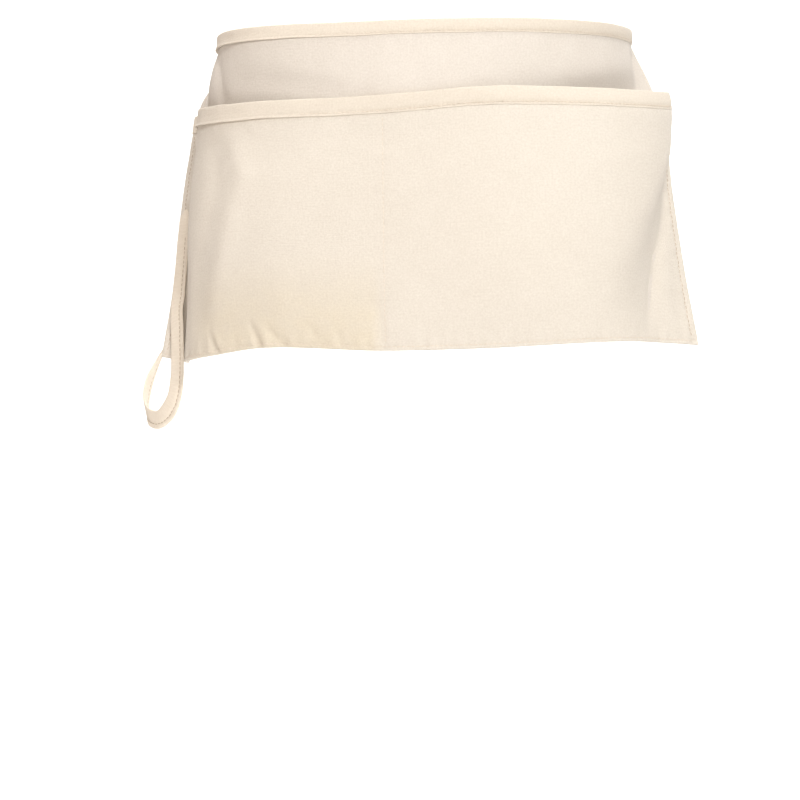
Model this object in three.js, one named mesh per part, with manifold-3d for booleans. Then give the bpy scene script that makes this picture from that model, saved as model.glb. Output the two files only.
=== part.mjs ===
// Carpenter's nail apron, as it hangs round a waist.
// A canvas body panel hangs from a folded tape waistband that runs on into two ties. A second canvas panel
// is sewn to it at both sides, at the bottom and down the middle, so it makes two pockets. The pocket mouth
// is bound with the same tape, the side hems are turned to the back, and a strap loop hangs at one side.
//
// Millimetres, +Z up, with the front of the apron towards -Y and +X to the right as seen from the front.
// The origin is the middle of the waist opening, at half the height of the waistband.

import * as THREE from 'three';
import { mergeVertices } from 'three/addons/utils/BufferGeometryUtils.js';
import ManifoldModule from 'manifold-3d';

// Driving dimensions
const CLOTH_WIDTH = 508; // the panels' cut width, side to side
const APRON_HEIGHT = 250; // top of the waistband to the bottom edge
const POCKET_HEIGHT = 196; // bottom edge to the pocket mouth
const CLOTH_THICKNESS = 1.2;
const TAPE_THICKNESS = 1;
const WAISTBAND_HEIGHT = 13;
const BINDING_HEIGHT = 15;
const SIDE_HEM_WIDTH = 8;
const SEAM_GAP = 0.3; // between pieces that are sewn together
const STRAP_GAP = 1; // between the loop's sewn strap and the cloth under it
const WAIST_BACK = 108; // from the origin to the ties behind the waist
const TIE_THICKNESS = 2.2;
const KNOT_WIDTH = 24;
const KNOT_HEIGHT = 18;
const KNOT_DEPTH = 11;
const TAIL_LENGTH = 70;
const TAIL_WIDTH = 11;
const TAIL_SPREAD = 14; // each tail leans out from the vertical by this many degrees
const LOOP_STRAP_WIDTH = 15;
const LOOP_STRAP_THICKNESS = 2;
const LOOP_SEWN_LENGTH = 67; // the stretch of the strap that is sewn to the side hem
const LOOP_HANG = 101; // from there down to the middle of the strap at the bottom of the loop
const LOOP_START = 0.52; // where the sewn stretch starts, a share of the panel's height
const LOOP_INSET = 3; // from the side edge of the cloth to the strap
const DENT_FADE = 30; // the body's dents fade out over this width beside the side edges
const SEAT_FADE = 20; // the pocket comes back to the body over this height below its binding
const TIE_BEND = 0.5; // how far the ties' curve holds its end directions, a share of the way to the knot
const TAIL_SEAT = 2; // from the middle of the knot to the middle of each tail, front to back

// Smoothness of the meshes
const COLUMNS = 46; // quads across a panel, between its side hems
const UPPER_ROWS = 3; // quads down the body panel, from the waistband to the pocket mouth
const LOWER_ROWS = 10; // quads down each panel, below the binding
const PLAN_STEPS = 60; // straight steps along half of a plan section
const TIE_STEPS = 30;
const LOOP_STEPS = 56;
const SEWN_STEPS = 3; // along the loop's sewn stretch

// Where a section's headings hold, as shares of the way from the middle of the cloth to its side edge
const LEFT_PLACES = { middle: 0, front: 0.35, hip: 0.62, turn: 0.84, flap: 0.92, edge: 1 };
const RIGHT_PLACES = { middle: 0, front: 0.35, hip: 0.62, turn: 0.8, flap: 0.88, edge: 1 };

// Plan sections from the waistband down, a row for each level. drop is a share of the panel's height. The
// other columns are the way that the cloth heads at the places above, in degrees back from straight
// sideways. The first row holds up to the waistband too, where the cloth wraps the waist. Lower down its
// front is flatter, and past the turn its sides swing out again as flaps.
const LEFT_SECTIONS = [
  { drop: 0.05, middle: 0, front: 15, hip: 58, turn: 92, flap: 98, edge: 104 },
  { drop: 0.13, middle: 0, front: 17, hip: 49, turn: 82, flap: 66, edge: 50 },
  { drop: 0.28, middle: 0, front: 18, hip: 44, turn: 77, flap: 54, edge: 42 },
  { drop: 0.55, middle: 0, front: 16, hip: 36, turn: 78, flap: 48, edge: 30 },
  { drop: 0.8, middle: 0, front: 14, hip: 34, turn: 76, flap: 41, edge: 23 },
  { drop: 1.0, middle: 0, front: 11, hip: 31, turn: 72, flap: 36, edge: 18 },
];
const RIGHT_SECTIONS = [
  { drop: 0.05, middle: 0, front: 24, hip: 51, turn: 75, flap: 86, edge: 104 },
  { drop: 0.16, middle: 0, front: 22, hip: 47, turn: 71, flap: 79, edge: 82 },
  { drop: 0.28, middle: 0, front: 19, hip: 41, turn: 66, flap: 74, edge: 72 },
  { drop: 0.55, middle: 0, front: 17, hip: 36, turn: 65, flap: 67, edge: 60 },
  { drop: 0.8, middle: 0, front: 14, hip: 32, turn: 63, flap: 54, edge: 50 },
  { drop: 1.0, middle: 0, front: 11, hip: 26, turn: 56, flap: 46, edge: 42 },
];

// How far the middle of the cloth stands in front of the origin, a share of the cloth's width
const FRONT_LINE = [
  { drop: 0.05, front: 0.246 },
  { drop: 0.3, front: 0.256 },
  { drop: 0.7, front: 0.264 },
  { drop: 1.0, front: 0.266 },
];

// How far the pocket mouth and the bottom edge dip below their mean lines, as shares of the apron's height.
// across runs from -1 at the left side edge to 1 at the right one.
const EDGE_DIPS = [
  { across: -1, mouth: 0, bottom: -0.002 },
  { across: -0.84, mouth: 0, bottom: 0.02 },
  { across: -0.6, mouth: 0.008, bottom: 0.004 },
  { across: -0.4, mouth: 0.011, bottom: -0.016 },
  { across: 0, mouth: 0.011, bottom: 0.002 },
  { across: 0.3, mouth: -0.004, bottom: 0.001 },
  { across: 0.75, mouth: 0.005, bottom: -0.012 },
  { across: 1, mouth: 0, bottom: 0 },
];

// Soft dents in the body panel above the pockets. across and wide are shares of half the cloth's width,
// drop and high are shares of the panel's height, and deep is a share of the cloth's width.
const BODY_DENTS = [
  { across: 0.72, drop: 0.3, wide: 0.24, high: 0.12, deep: 0.024 },
  { across: -0.45, drop: 0.3, wide: 0.3, high: 0.1, deep: 0.006 },
];

// How far each pocket stands off the body, a row for each level. fall is a share of the pocket's height,
// stand a share of the cloth's width. peak is where it stands out most and flat is where it lies on the
// body again, as shares of half the cloth's width.
const LEFT_POCKET = [
  { fall: 0.0, stand: 0.02, peak: 0.5, flat: 0.88 },
  { fall: 0.3, stand: 0.027, peak: 0.5, flat: 0.87 },
  { fall: 0.65, stand: 0.025, peak: 0.48, flat: 0.86 },
  { fall: 0.88, stand: 0.011, peak: 0.46, flat: 0.85 },
  { fall: 1.0, stand: 0, peak: 0.46, flat: 0.85 },
];
const RIGHT_POCKET = [
  { fall: 0.0, stand: 0.042, peak: 0.9, flat: 1.0 },
  { fall: 0.25, stand: 0.043, peak: 0.84, flat: 1.0 },
  { fall: 0.55, stand: 0.032, peak: 0.7, flat: 0.93 },
  { fall: 0.8, stand: 0.019, peak: 0.6, flat: 0.85 },
  { fall: 1.0, stand: 0, peak: 0.55, flat: 0.8 },
];

// Route of the loop's free strap, from its front seam round to its back seam. right, back and up are
// shares of LOOP_HANG, from the point where the strap leaves its front seam. turn is the way that the
// strap's width points in plan, in degrees from +X, and lift how far it points up.
const LOOP_ROUTE = [
  { right: -0.01, back: -0.06, up: -0.15, turn: -34, lift: 0 },
  { right: 0.01, back: -0.13, up: -0.33, turn: -32, lift: 0 },
  { right: 0.02, back: -0.17, up: -0.5, turn: -30, lift: -2 },
  { right: 0.02, back: -0.19, up: -0.67, turn: -28, lift: -8 },
  { right: 0, back: -0.19, up: -0.83, turn: -22, lift: -22 },
  { right: -0.06, back: -0.15, up: -0.94, turn: -12, lift: -48 },
  { right: -0.15, back: -0.1, up: -1, turn: 0, lift: -80 },
  { right: -0.26, back: -0.02, up: -0.98, turn: 50, lift: -82 },
  { right: -0.32, back: 0.08, up: -0.89, turn: 80, lift: -66 },
  { right: -0.33, back: 0.17, up: -0.73, turn: 90, lift: -42 },
  { right: -0.27, back: 0.24, up: -0.54, turn: 105, lift: -20 },
  { right: -0.15, back: 0.24, up: -0.33, turn: 125, lift: -5 },
  { right: -0.04, back: 0.2, up: -0.14, turn: 140, lift: 0 },
];

// Derived sizes
const halfWidth = CLOTH_WIDTH / 2;
const topOfBand = WAISTBAND_HEIGHT / 2;
const topOfPanel = topOfBand - TAPE_THICKNESS - SEAM_GAP;
const panelHeight = APRON_HEIGHT - TAPE_THICKNESS - SEAM_GAP;
const bandDrop = (topOfPanel + WAISTBAND_HEIGHT / 2) / panelHeight;
const mouthDrop = 1 - (POCKET_HEIGHT - TAPE_THICKNESS - SEAM_GAP) / panelHeight;
const bindingDrop = 1 - (POCKET_HEIGHT - BINDING_HEIGHT) / panelHeight;
const clothFace = CLOTH_THICKNESS / 2; // from the middle of the body panel to its front
const pocketSeat = clothFace + SEAM_GAP; // from there to the back of the pocket panel at its seams
const bindingSeat = SEAM_GAP + TAPE_THICKNESS; // room for the binding's back leg at the seams

// Smooth curves through the named columns of a table
function tableCurve(rows, placeColumn, columns) {
  const places = rows.map((row) => row[placeColumn]);
  const values = rows.flatMap((row) => columns.map((column) => row[column]));
  const curve = new THREE.CubicInterpolant(places, values, columns.length);
  return (place) => Array.from(curve.evaluate(place));
}

const headingCurves = {
  left: tableCurve(LEFT_SECTIONS, 'drop', Object.keys(LEFT_PLACES)),
  right: tableCurve(RIGHT_SECTIONS, 'drop', Object.keys(RIGHT_PLACES)),
};
const frontCurve = tableCurve(FRONT_LINE, 'drop', ['front']);
const dipCurve = tableCurve(EDGE_DIPS, 'across', ['mouth', 'bottom']);
const pocketColumns = ['stand', 'peak', 'flat'];
const pocketCurves = {
  left: tableCurve(LEFT_POCKET, 'fall', pocketColumns),
  right: tableCurve(RIGHT_POCKET, 'fall', pocketColumns),
};

// One side of the plan section at one level: points from the middle to the side edge, by walking along the
// cloth's width with the heading that the table gives, and the outward direction at each point
function walkSection(side, drop) {
  const sign = side === 'left' ? -1 : 1;
  const places = Object.values(side === 'left' ? LEFT_PLACES : RIGHT_PLACES);
  const headingAt = new THREE.CubicInterpolant(places, headingCurves[side](drop), 1);
  const stepLength = halfWidth / PLAN_STEPS;
  const turnAt = (share) => THREE.MathUtils.degToRad(headingAt.evaluate(share)[0]);
  const stations = [];
  let x = 0;
  let y = -frontCurve(drop)[0] * CLOTH_WIDTH;
  for (let step = 0; step <= PLAN_STEPS; step += 1) {
    const turn = turnAt(step / PLAN_STEPS);
    stations.push({ x, y, outX: sign * Math.sin(turn), outY: -Math.cos(turn) });
    const nextTurn = turnAt(Math.min(1, (step + 0.5) / PLAN_STEPS));
    x += sign * stepLength * Math.cos(nextTurn);
    y += stepLength * Math.sin(nextTurn);
  }
  return stations;
}

const walkedSections = new Map();

function sectionAt(side, drop) {
  const key = `${side} ${drop.toFixed(6)}`;
  if (!walkedSections.has(key)) {
    walkedSections.set(key, walkSection(side, drop));
  }
  return walkedSections.get(key);
}

// The height of the cloth at a level, with the dips of the mouth and the bottom edge spread between them
function heightAt(across, drop) {
  const [mouth, bottom] = dipCurve(across);
  const aboveMouth = THREE.MathUtils.clamp((drop - bandDrop) / (mouthDrop - bandDrop), 0, 1);
  const belowMouth = THREE.MathUtils.clamp((drop - mouthDrop) / (1 - mouthDrop), 0, 1);
  const dip = mouth * aboveMouth + (bottom - mouth) * belowMouth;
  return topOfPanel - panelHeight * drop - dip * APRON_HEIGHT;
}

// A point of the cloth, out millimetres in front of the middle of the body panel
function clothPoint(across, drop, out) {
  const stations = sectionAt(across < 0 ? 'left' : 'right', drop);
  const place = Math.min(Math.abs(across), 1) * PLAN_STEPS;
  const index = Math.min(Math.floor(place), PLAN_STEPS - 1);
  const part = place - index;
  const mix = (key) => stations[index][key] * (1 - part) + stations[index + 1][key] * part;
  return new THREE.Vector3(
    mix('x') + mix('outX') * out,
    mix('y') + mix('outY') * out,
    heightAt(across, drop),
  );
}

function bodyDent(across, drop) {
  let dent = 0;
  for (const row of BODY_DENTS) {
    const sideways = (across - row.across) / row.wide;
    const down = (drop - row.drop) / row.high;
    dent += row.deep * CLOTH_WIDTH * Math.exp(-sideways * sideways - down * down);
  }
  const seamFade = Math.min(1, ((1 - Math.abs(across)) * halfWidth) / DENT_FADE);
  const bandFade = THREE.MathUtils.smoothstep(drop, bandDrop, mouthDrop);
  return dent * seamFade * bandFade;
}

// How far the back of the pocket panel stands off the front of the body panel
function pocketStand(across, drop) {
  const fall = THREE.MathUtils.clamp((drop - mouthDrop) / (1 - mouthDrop), 0, 1);
  const [stand, peak, flat] = pocketCurves[across < 0 ? 'left' : 'right'](fall);
  const reach = Math.abs(across);
  const rise = reach < peak ? reach / peak : Math.max(0, (flat - reach) / (flat - peak));
  const swell = Math.sin((rise * Math.PI) / 2) ** 2;
  const seatFade = 1 - THREE.MathUtils.smoothstep(drop, bindingDrop, bindingDrop + SEAT_FADE / panelHeight);
  return stand * CLOTH_WIDTH * swell + bindingSeat * seatFade;
}

// A closed solid through a row of rings. Each ring goes out along one face of a strip of cloth and back
// along the other, so its corners pair up across the strip, and the two ends are closed between the pairs.
// Each quad is halved from its upper corner on one ring to its lower corner on the next, so that faces that
// lie on one another are halved alike and keep their distance.
function loft(rings) {
  const count = rings[0].length;
  const positions = rings.flat().flatMap((point) => [point.x, point.y, point.z]);
  const triangles = [];
  for (let ring = 0; ring + 1 < rings.length; ring += 1) {
    for (let corner = 0; corner < count; corner += 1) {
      const next = (corner + 1) % count;
      const here = ring * count;
      const there = here + count;
      if (rings[ring][corner].z > rings[ring][next].z) {
        triangles.push([here + corner, here + next, there + next]);
        triangles.push([here + corner, there + next, there + corner]);
      } else {
        triangles.push([here + corner, here + next, there + corner]);
        triangles.push([here + next, there + next, there + corner]);
      }
    }
  }
  const last = (rings.length - 1) * count;
  for (let corner = 0; corner + 1 < count / 2; corner += 1) {
    const [a, b, c, d] = [corner, corner + 1, count - 2 - corner, count - 1 - corner];
    triangles.push([a, c, b], [a, d, c]);
    triangles.push([a + last, b + last, c + last], [a + last, c + last, d + last]);
  }
  return facingOut(positions, triangles);
}

// A geometry of these triangles, turned over if they enclose a negative volume
function facingOut(positions, triangles) {
  const point = (index) => new THREE.Vector3().fromArray(positions, index * 3);
  const volume = triangles.reduce(
    (sum, [a, b, c]) => sum + point(a).dot(point(b).cross(point(c))) / 6,
    0,
  );
  const geometry = new THREE.BufferGeometry();
  geometry.setAttribute('position', new THREE.Float32BufferAttribute(positions, 3));
  geometry.setIndex(triangles.flatMap(([a, b, c]) => (volume < 0 ? [a, c, b] : [a, b, c])));
  return geometry;
}

function clothMaterial(colour, roughness) {
  return new THREE.MeshStandardMaterial({ color: colour, roughness, metalness: 0 });
}

function piece(name, geometry, colour) {
  const mesh = new THREE.Mesh(geometry, clothMaterial(colour, 0.9));
  mesh.name = name;
  return mesh;
}

// Shares from start to end in equal steps, both included
function evenly(start, end, steps) {
  return Array.from({ length: steps + 1 }, (_, index) => start + ((end - start) * index) / steps);
}

const hemInside = 1 - SIDE_HEM_WIDTH / halfWidth;
const columnPlaces = [-1, ...evenly(-hemInside, hemInside, COLUMNS), 1];

// A cloth wall between two faces, given as functions of across and drop that say how far out each lies
function clothWall(places, drops, frontOut, backOut) {
  const rings = places.map((across) => [
    ...drops.map((drop) => clothPoint(across, drop, frontOut(across, drop))),
    ...drops.toReversed().map((drop) => clothPoint(across, drop, backOut(across, drop))),
  ]);
  return loft(rings);
}

// A tape folded over an edge of cloth: a front leg, a back leg and a top, round a wall whose faces lie
// frontOut and backOut from the middle of the body panel
function foldedTape(topDrop, lowDrop, frontOut, backOut) {
  const inner = SEAM_GAP;
  const outer = SEAM_GAP + TAPE_THICKNESS;
  const lift = new THREE.Vector3(0, 0, 1);
  const rings = columnPlaces.map((across) => {
    const front = (drop, away) => clothPoint(across, drop, frontOut(across, drop) + away);
    const back = (drop, away) => clothPoint(across, drop, backOut(across, drop) - away);
    return [
      front(lowDrop, outer),
      front(topDrop, outer).addScaledVector(lift, outer),
      back(topDrop, outer).addScaledVector(lift, outer),
      back(lowDrop, outer),
      back(lowDrop, inner),
      back(topDrop, inner).addScaledVector(lift, inner),
      front(topDrop, inner).addScaledVector(lift, inner),
      front(lowDrop, inner),
    ];
  });
  return loft(rings);
}

const bodyFront = (across, drop) => clothFace - bodyDent(across, drop);
const bodyBack = (across, drop) => -clothFace - bodyDent(across, drop);
const pocketBack = (across, drop) => pocketSeat + pocketStand(across, drop);
const pocketFront = (across, drop) => pocketBack(across, drop) + CLOTH_THICKNESS;

const lowerDrops = evenly(bindingDrop, 1, LOWER_ROWS);
const bodyDrops = [0, ...evenly(bandDrop, mouthDrop, UPPER_ROWS), ...lowerDrops];
const pocketDrops = [mouthDrop, ...lowerDrops];

function bodyPanel() {
  return piece('body_panel', clothWall(columnPlaces, bodyDrops, bodyFront, bodyBack), 0xf1e6d3);
}

function pocketPanel() {
  return piece('pocket_panel', clothWall(columnPlaces, pocketDrops, pocketFront, pocketBack), 0xf5ead8);
}

function waistband() {
  return piece('waistband', foldedTape(0, bandDrop, bodyFront, bodyBack), 0xf3e7d2);
}

function pocketBinding() {
  return piece('pocket_binding', foldedTape(mouthDrop, bindingDrop, pocketFront, pocketBack), 0xf6ebd7);
}

// The hem turned to the back down one side edge, below the waistband
function sideHem(name, sign) {
  const places = sign < 0 ? [-1, -hemInside] : [hemInside, 1];
  const startDrop = bandDrop + SEAM_GAP / panelHeight;
  const drops = [startDrop, ...bodyDrops.slice(2)];
  const front = (across, drop) => bodyBack(across, drop) - SEAM_GAP;
  const back = (across, drop) => front(across, drop) - TAPE_THICKNESS;
  return piece(name, clothWall(places, drops, front, back), 0xeadcc4);
}

// A flat strap through stations that give its middle and the way that its width points
function strap(stations, steps, width, thickness) {
  const middles = new THREE.CatmullRomCurve3(stations.map((station) => station.middle));
  const widths = new THREE.CatmullRomCurve3(stations.map((station) => station.wide));
  const rings = evenly(0, 1, steps).map((share) => {
    const middle = middles.getPoint(share);
    const along = middles.getTangent(share);
    const wide = widths.getPoint(share);
    wide.addScaledVector(along, -wide.dot(along)).setLength(width / 2);
    const thick = new THREE.Vector3().crossVectors(wide, along).setLength(thickness / 2);
    return [[1, 1], [-1, 1], [-1, -1], [1, -1]].map(([side, face]) =>
      middle.clone().addScaledVector(wide, side).addScaledVector(thick, face),
    );
  });
  return loft(rings);
}

// The strap's sewn stretch: stations down the side hem, out millimetres from the middle of the body
function sewnStations(drops, outAt) {
  const edge = -1 + LOOP_INSET / halfWidth;
  const inside = edge + LOOP_STRAP_WIDTH / halfWidth;
  const middle = (edge + inside) / 2;
  return drops.map((drop) => ({
    middle: clothPoint(middle, drop, outAt(middle, drop)),
    wide: clothPoint(inside, drop, outAt(inside, drop)).sub(clothPoint(edge, drop, outAt(edge, drop))).normalize(),
  }));
}

function toolLoop() {
  const halfThickness = LOOP_STRAP_THICKNESS / 2;
  const leaveDrop = LOOP_START + LOOP_SEWN_LENGTH / panelHeight;
  const frontOut = (across, drop) => pocketFront(across, drop) + STRAP_GAP + halfThickness;
  const hemBack = (across, drop) => bodyBack(across, drop) - SEAM_GAP - TAPE_THICKNESS;
  const backOut = (across, drop) => hemBack(across, drop) - STRAP_GAP - halfThickness;
  const front = sewnStations(evenly(LOOP_START, leaveDrop, SEWN_STEPS), frontOut);
  const back = sewnStations(evenly(leaveDrop, LOOP_START, SEWN_STEPS), backOut);
  const start = front[front.length - 1].middle;
  const free = LOOP_ROUTE.map((row) => {
    const turn = THREE.MathUtils.degToRad(row.turn);
    const lift = THREE.MathUtils.degToRad(row.lift);
    return {
      middle: start.clone().add(new THREE.Vector3(row.right, row.back, row.up).multiplyScalar(LOOP_HANG)),
      wide: new THREE.Vector3(
        Math.cos(turn) * Math.cos(lift),
        Math.sin(turn) * Math.cos(lift),
        Math.sin(lift),
      ),
    };
  });
  for (const station of back) {
    station.wide.negate();
  }
  const stations = [...front, ...free, ...back];
  return piece('tool_loop', strap(stations, LOOP_STEPS, LOOP_STRAP_WIDTH, LOOP_STRAP_THICKNESS), 0xefe2ca);
}

// The tape that runs on from one end of the waistband round to the knot behind the waist
function tie(name, sign) {
  const end = clothPoint(sign, 0, 0).setZ(0);
  const before = clothPoint(sign * (1 - 1 / PLAN_STEPS), 0, 0).setZ(0);
  const heading = end.clone().sub(before).normalize();
  const start = end.clone().addScaledVector(heading, SEAM_GAP);
  const finish = new THREE.Vector3(sign * (KNOT_WIDTH / 2 + SEAM_GAP), WAIST_BACK, 0);
  const reach = TIE_BEND * start.distanceTo(finish);
  const curve = new THREE.CubicBezierCurve3(
    start,
    start.clone().addScaledVector(heading, reach),
    finish.clone().add(new THREE.Vector3(sign * reach, 0, 0)),
    finish,
  );
  const stations = evenly(0, 1, TIE_STEPS).map((share) => ({
    middle: curve.getPoint(share),
    wide: new THREE.Vector3(0, 0, 1),
  }));
  return piece(name, strap(stations, TIE_STEPS, WAISTBAND_HEIGHT, TIE_THICKNESS), 0xf0e4cd);
}

const manifold = await ManifoldModule();
manifold.setup();

function toManifold(geometry) {
  const bare = new THREE.BufferGeometry();
  bare.setAttribute('position', geometry.getAttribute('position').clone());
  bare.setIndex(geometry.getIndex());
  const merged = mergeVertices(bare, 1e-4);
  return new manifold.Manifold(
    new manifold.Mesh({
      numProp: 3,
      vertProperties: new Float32Array(merged.getAttribute('position').array),
      triVerts: new Uint32Array(merged.getIndex().array),
    }),
  );
}

function fromManifold(body) {
  const { vertProperties, triVerts } = body.getMesh();
  const geometry = new THREE.BufferGeometry();
  geometry.setAttribute('position', new THREE.Float32BufferAttribute(vertProperties, 3));
  geometry.setIndex(Array.from(triVerts));
  return geometry;
}

// The knot behind the waist with two short tails, one plain piece
function tieKnot() {
  const bead = new THREE.SphereGeometry(0.5, 18, 12);
  bead.scale(KNOT_WIDTH, KNOT_DEPTH, KNOT_HEIGHT);
  bead.translate(0, WAIST_BACK, 0);
  let knot = toManifold(bead);
  for (const sign of [-1, 1]) {
    const lean = THREE.MathUtils.degToRad(TAIL_SPREAD) * sign;
    const tail = new THREE.BoxGeometry(TAIL_WIDTH, TIE_THICKNESS, TAIL_LENGTH);
    tail.translate(0, sign * TAIL_SEAT, -TAIL_LENGTH / 2);
    tail.rotateY(-lean);
    tail.translate(0, WAIST_BACK, 0);
    knot = knot.add(toManifold(tail));
  }
  return piece('tie_knot', fromManifold(knot), 0xeee1c9);
}

const apron = new THREE.Group();
apron.add(
  bodyPanel(),
  pocketPanel(),
  waistband(),
  pocketBinding(),
  sideHem('side_hem_left', -1),
  sideHem('side_hem_right', 1),
  toolLoop(),
  tie('tie_left', -1),
  tie('tie_right', 1),
  tieKnot(),
);

export default apron;
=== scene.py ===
"""Looks of a carpenter's nail apron: cream canvas, bound with folded tape, with a strap loop at one side.

The cloth follows the CAD part's plan sections and pocket tables, with small changes where the tables say
so. It is walked finely here, with the creases, puckers, rolled edges and stitches that the CAD solids leave
out. Sizes in the tables and in the named values are millimetres or shares of them; the meshes are made in
metres, in the CAD frame.
"""

import math

import bpy
import numpy as np
from mathutils import Matrix, Vector


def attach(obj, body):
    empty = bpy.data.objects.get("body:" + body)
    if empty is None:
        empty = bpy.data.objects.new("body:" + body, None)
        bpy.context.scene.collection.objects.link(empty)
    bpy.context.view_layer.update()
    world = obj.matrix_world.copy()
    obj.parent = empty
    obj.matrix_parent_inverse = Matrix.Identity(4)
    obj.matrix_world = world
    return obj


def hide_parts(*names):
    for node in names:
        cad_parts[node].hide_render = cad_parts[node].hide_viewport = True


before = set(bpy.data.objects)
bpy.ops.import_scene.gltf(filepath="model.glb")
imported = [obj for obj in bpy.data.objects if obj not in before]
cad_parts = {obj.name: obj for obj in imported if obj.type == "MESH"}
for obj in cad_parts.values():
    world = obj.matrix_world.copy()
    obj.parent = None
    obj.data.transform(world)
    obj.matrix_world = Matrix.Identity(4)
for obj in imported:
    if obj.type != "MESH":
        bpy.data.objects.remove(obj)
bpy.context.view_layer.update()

# Sizes shared with the CAD part
CLOTH_WIDTH = 508.0
APRON_HEIGHT = 250.0
POCKET_HEIGHT = 196.0
CLOTH_THICKNESS = 1.2
TAPE_THICKNESS = 1.0
WAISTBAND_HEIGHT = 13.0
BINDING_HEIGHT = 15.0
SIDE_HEM_WIDTH = 8.0
SEAM_GAP = 0.3
STRAP_GAP = 1.0
WAIST_BACK = 108.0
TIE_THICKNESS = 2.2
TIE_BEND = 0.5
KNOT_WIDTH = 24.0
KNOT_HEIGHT = 18.0
KNOT_DEPTH = 11.0
TAIL_LENGTH = 70.0
TAIL_WIDTH = 11.0
TAIL_SPREAD = 14.0
LOOP_STRAP_WIDTH = 15.0
LOOP_STRAP_THICKNESS = 2.0
LOOP_SEWN_LENGTH = 67.0
LOOP_HANG = 101.0
LOOP_START = 0.52
LOOP_INSET = 3.0
TAIL_SEAT = 2.0
DENT_FADE = 30.0
SEAT_FADE = 20.0

LEFT_PLACES = (0.0, 0.35, 0.62, 0.84, 0.92, 1.0)
RIGHT_PLACES = (0.0, 0.35, 0.62, 0.8, 0.88, 1.0)
# drop: heading of the cloth at those places, in degrees
LEFT_SECTIONS = {
    0.05: (0, 15, 58, 92, 98, 104),
    0.13: (0, 17, 49, 82, 66, 50),
    0.28: (0, 18, 44, 77, 54, 42),
    0.55: (0, 16, 36, 78, 48, 30),
    0.8: (0, 14, 34, 76, 41, 23),
    1.0: (0, 11, 31, 72, 36, 18),
}
RIGHT_SECTIONS = {
    0.05: (0, 24, 51, 75, 86, 104),
    0.16: (0, 22, 47, 71, 79, 82),
    0.28: (0, 19, 41, 66, 74, 72),
    0.55: (0, 17, 36, 65, 67, 60),
    0.8: (0, 14, 32, 63, 54, 50),
    1.0: (0, 11, 26, 56, 46, 42),
}
FRONT_LINE = {0.05: (0.246,), 0.3: (0.256,), 0.7: (0.264,), 1.0: (0.266,)}
# across: dip of the mouth, dip of the bottom edge. The mouth dips less in the last two rows than in the CAD.
EDGE_DIPS = {
    -1.0: (0, -0.002), -0.84: (0, 0.02), -0.6: (0.008, 0.004), -0.4: (0.011, -0.016),
    0.0: (0.011, 0.002), 0.3: (-0.004, 0.001), 0.75: (0.003, -0.012), 1.0: (-0.01, 0),
}
# across, drop, wide, high, deep
BODY_DENTS = ((0.72, 0.3, 0.24, 0.12, 0.024), (-0.45, 0.3, 0.3, 0.1, 0.006))
# fall: stand, peak, flat. The right pocket's first two rows stand off less than in the CAD.
LEFT_POCKET = {
    0.0: (0.02, 0.5, 0.88), 0.3: (0.027, 0.5, 0.87), 0.65: (0.025, 0.48, 0.86),
    0.88: (0.011, 0.46, 0.85), 1.0: (0, 0.46, 0.85),
}
RIGHT_POCKET = {
    0.0: (0.036, 0.9, 1.0), 0.25: (0.041, 0.84, 1.0), 0.55: (0.032, 0.7, 0.93),
    0.8: (0.019, 0.6, 0.85), 1.0: (0, 0.55, 0.8),
}
# right, back, up, turn, lift. The first five rows lie further right than in the CAD.
LOOP_ROUTE = (
    (0.0, -0.06, -0.15, -34, 0), (0.025, -0.13, -0.33, -32, 0), (0.037, -0.17, -0.5, -30, -2),
    (0.037, -0.19, -0.67, -28, -8), (0.01, -0.19, -0.83, -22, -22), (-0.06, -0.15, -0.94, -12, -48),
    (-0.15, -0.1, -1, 0, -80), (-0.26, -0.02, -0.98, 50, -82), (-0.32, 0.08, -0.89, 80, -66),
    (-0.33, 0.17, -0.73, 90, -42), (-0.27, 0.24, -0.54, 105, -20), (-0.15, 0.24, -0.33, 125, -5),
    (-0.04, 0.2, -0.14, 140, 0),
)

# Sizes of the looks only
PLAN_STEPS = 240  # straight steps along half of a plan section
STITCH_LENGTH = 3.0
STITCH_PITCH = 3.7
THREAD = 0.62  # thickness of the sewing thread
SEAM_ROLL = 2.0  # radius of the turned side edges
FLAP_FOLD_ACROSS = 0.85
FLAP_FOLD_WIDTH = 13.0
FLAP_FOLD_DEPTH = 3.7
BAND_LIFT = 2.7  # how much higher the waistband lies at the left front than in the CAD
BAND_LEG = 0.88  # how much of the waistband's height its legs take up
LIP_SINK = 0.55  # how much flatter the lips of the tapes lie at the right
TAPE_SEAM = 0.83  # how far down a tape its stitching is
SIDE_STITCH = 6.5  # from the side edges to their stitching
BOTTOM_STITCH = 3.2
LOOP_SEAM = 0.45  # where the loop's stitching runs, a share of half its width
TIE_SEAM = -0.55  # the same for the ties
TAPE_OUTER = 0.7  # how far a binding tape stands off the cloth it is sewn to
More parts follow.
